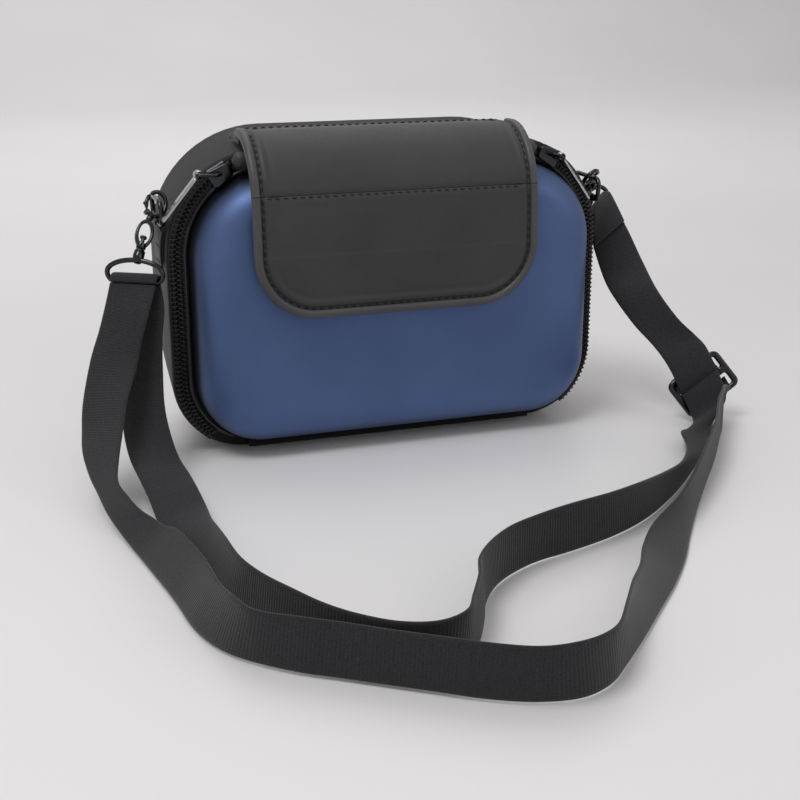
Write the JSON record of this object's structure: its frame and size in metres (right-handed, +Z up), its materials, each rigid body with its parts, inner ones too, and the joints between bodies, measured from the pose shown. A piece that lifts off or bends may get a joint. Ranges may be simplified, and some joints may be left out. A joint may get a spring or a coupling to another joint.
{
  "type": "moulded carrying case with shoulder strap",
  "caption": "Small hard-shell zip case with a blue front shell, black rear shell, padded closing flap, coil zip, snap hooks and an adjustable webbing shoulder strap.",
  "frame": {"origin": "on the surface the case stands on, under the middle of the case without its strap", "axes": "+Z up, +X to the right as seen from the front, -Y out of the blue front shell"},
  "size_m": [0.2971, 0.3107, 0.1369],
  "materials": {
    "blue_shell": "satin moulded skin over EVA foam",
    "black_leatherette": "fine grained black leatherette",
    "webbing": "woven black polypropylene webbing",
    "black_fabric": "woven nylon tape",
    "lining": "brushed knit lining",
    "coil": "moulded nylon coil",
    "gunmetal": "polished gun-metal plating",
    "pull_metal": "polished zip pull"
  },
  "bodies": {
    "case": {"rear_shell": "black_leatherette", "rear_lining": "lining", "zip_tape_rear": "black_fabric", "zip_coil_rear": "coil", "hinge_strip": "black_fabric", "flap_root": "black_leatherette", "divider": "lining", "belt_loop": "webbing", "side_tab_left": "webbing", "side_tab_right": "webbing", "strap_outer": "webbing", "strap_inner": "webbing", "strap_lead": "webbing", "strap_fold_left": "webbing", "strap_fold_right": "webbing", "hook_swivel_left": "gunmetal", "hook_swivel_right": "gunmetal", "tri_glide": "gunmetal"},
    "lid": {"front_shell": "blue_shell", "front_lining": "lining", "front_piping": "black_leatherette", "zip_tape_front": "black_fabric", "zip_coil_front": "coil", "padded_roll": "black_leatherette", "loop_patch": "black_fabric", "mesh_pocket": "black_fabric"},
    "flap": {"flap_top": "black_leatherette", "flap_binding_left": "black_leatherette", "flap_binding_right": "black_leatherette"},
    "flap_lower": {"flap_panel": "black_leatherette", "flap_binding_lower": "black_leatherette", "hook_patch": "black_fabric"},
    "slider_left": {"slider_left": "gunmetal"},
    "slider_right": {"slider_right": "gunmetal"},
    "pull_left": {"pull_tab_left": "pull_metal"},
    "pull_right": {"pull_tab_right": "pull_metal"},
    "d_ring_left": {"d_ring_left": "gunmetal"},
    "d_ring_right": {"d_ring_right": "gunmetal"},
    "hook_left": {"snap_hook_left": "gunmetal"},
    "hook_right": {"snap_hook_right": "gunmetal"},
    "gate_left": {"hook_gate_left": "gunmetal"},
    "gate_right": {"hook_gate_right": "gunmetal"}
  },
  "joints": [
    {"name": "lid_open", "type": "hinge", "parent": "case", "child": "lid", "pos_m": [0, -0.02123, 0.0025], "axis": [1, 0, 0], "range_deg": [0, 50]},
    {"name": "flap_lift", "type": "hinge", "parent": "case", "child": "flap", "pos_m": [0, -0.01723, 0.1364], "axis": [1, 0, 0], "range_deg": [-175, 0]},
    {"name": "flap_bend", "type": "hinge", "parent": "flap", "child": "flap_lower", "pos_m": [0, -0.04913, 0.113], "axis": [1, 0, 0], "range_deg": [-60, 0]},
    {"name": "slider_left_run", "type": "hinge", "parent": "lid", "child": "slider_left", "pos_m": [-0.0526, -0.02023, 0.0844], "axis": [0, 1, 0], "range_deg": [-25, 0]},
    {"name": "slider_right_run", "type": "hinge", "parent": "lid", "child": "slider_right", "pos_m": [0.0526, -0.02023, 0.0844], "axis": [0, 1, 0], "range_deg": [0, 28]},
    {"name": "pull_left_swing", "type": "hinge", "parent": "slider_left", "child": "pull_left", "pos_m": [-0.08363, -0.02523, 0.1201], "axis": [0, 1, 0], "range_deg": [-4, 60]},
    {"name": "pull_right_swing", "type": "hinge", "parent": "slider_right", "child": "pull_right", "pos_m": [0.07539, -0.02723, 0.12087], "axis": [0, 1, 0], "range_deg": [-50, 5]},
    {"name": "d_ring_left_swing", "type": "hinge", "parent": "case", "child": "d_ring_left", "pos_m": [-0.09815, -0.00773, 0.09921], "axis": [0, 1, 0], "range_deg": [-5, 2.5]},
    {"name": "hook_left_turn", "type": "hinge", "parent": "case", "child": "hook_left", "pos_m": [-0.10707, -0.02301, 0.09346], "axis": [0.3502, 0.5038, 0.7897], "range_deg": [-6, 2.5]},
    {"name": "gate_left_press", "type": "hinge", "parent": "hook_left", "child": "gate_left", "pos_m": [-0.10413, -0.01575, 0.10576], "axis": [0.2042, -0.8638, 0.4606], "range_deg": [-9, 0], "stiffness_Nm_per_rad": 0.03, "springref_deg": 5.73},
    {"name": "d_ring_right_swing", "type": "hinge", "parent": "case", "child": "d_ring_right", "pos_m": [0.09815, -0.00773, 0.09921], "axis": [0, 1, 0], "range_deg": [-2.5, 5]},
    {"name": "hook_right_turn", "type": "hinge", "parent": "case", "child": "hook_right", "pos_m": [0.10554, 0.00404, 0.10041], "axis": [-0.2999, -0.8212, 0.4855], "range_deg": [-6, 6]},
    {"name": "gate_right_press", "type": "hinge", "parent": "hook_right", "child": "gate_right", "pos_m": [0.10318, -0.00778, 0.10861], "axis": [-0.4315, 0.5707, 0.6986], "range_deg": [-9, 0], "stiffness_Nm_per_rad": 0.03, "springref_deg": 5.73}
  ],
  "couplings": [
    {"joint": "flap_lift", "follows": "lid_open", "ratio": -3.5}
  ]
}
